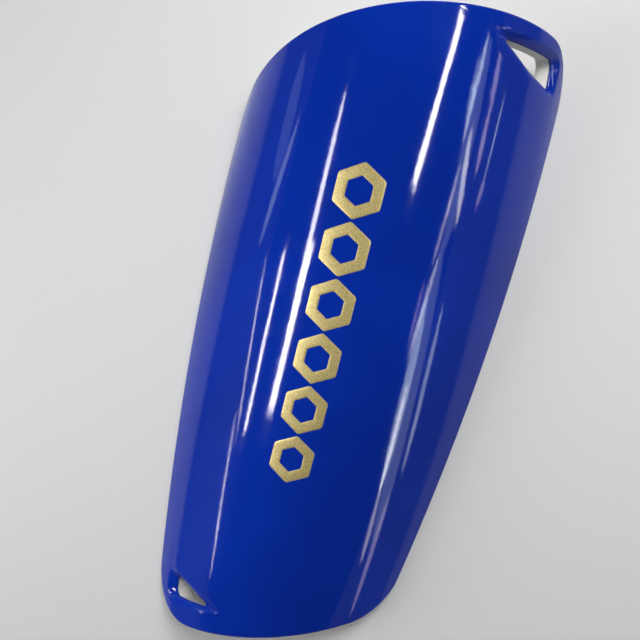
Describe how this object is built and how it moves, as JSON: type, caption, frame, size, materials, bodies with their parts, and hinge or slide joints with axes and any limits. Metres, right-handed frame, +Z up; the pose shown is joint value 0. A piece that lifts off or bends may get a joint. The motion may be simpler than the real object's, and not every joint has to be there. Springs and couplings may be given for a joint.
{
  "type": "soccer shin guard",
  "caption": "Slip-in shin guard: a bowed glossy blue plastic shell with a white foam liner, skewed ends and a three-cornered window in opposite corners.",
  "frame": {"origin": "on the floor, under the middle of the guard as it lies with its hollow side down", "axes": "+X across the shin, towards the window of the wide end; +Y along the shin, towards the wide end; +Z up through the crown, out of the outer face"},
  "size_m": [0.1054, 0.2136, 0.0399],
  "materials": {
    "shell_plastic": "glossy moulded blue",
    "liner_foam": "matte white closed-cell foam"
  },
  "bodies": {
    "root": {"shell": "shell_plastic", "foam_liner": "liner_foam"}
  },
  "joints": []
}
